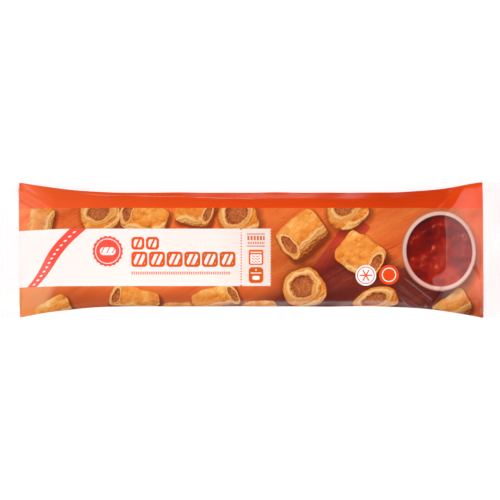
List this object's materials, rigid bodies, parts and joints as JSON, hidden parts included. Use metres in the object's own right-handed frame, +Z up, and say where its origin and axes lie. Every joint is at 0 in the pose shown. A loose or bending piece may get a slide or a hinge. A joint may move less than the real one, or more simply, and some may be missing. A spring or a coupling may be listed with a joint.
{
  "type": "flow-wrap pack of frozen sausage rolls",
  "caption": "Long sealed printed film pack of frozen sausage rolls, pillow-shaped with flat crimped end seals, lying flat with its printed side up.",
  "frame": {"origin": "centre of the pack's underside, on the surface it rests on", "axes": "+X along the pack, from the end with the white label to the end with the bowl; +Y across the pack, towards the plain orange band; +Z up, out of the printed side"},
  "size_m": [0.44, 0.119, 0.0332],
  "materials": {
    "printed_film": "glossy printed film, orange with a white label field and food-coloured artwork, white at the crimped end seals"
  },
  "bodies": {
    "root": {"pack": "printed_film"}
  },
  "joints": []
}
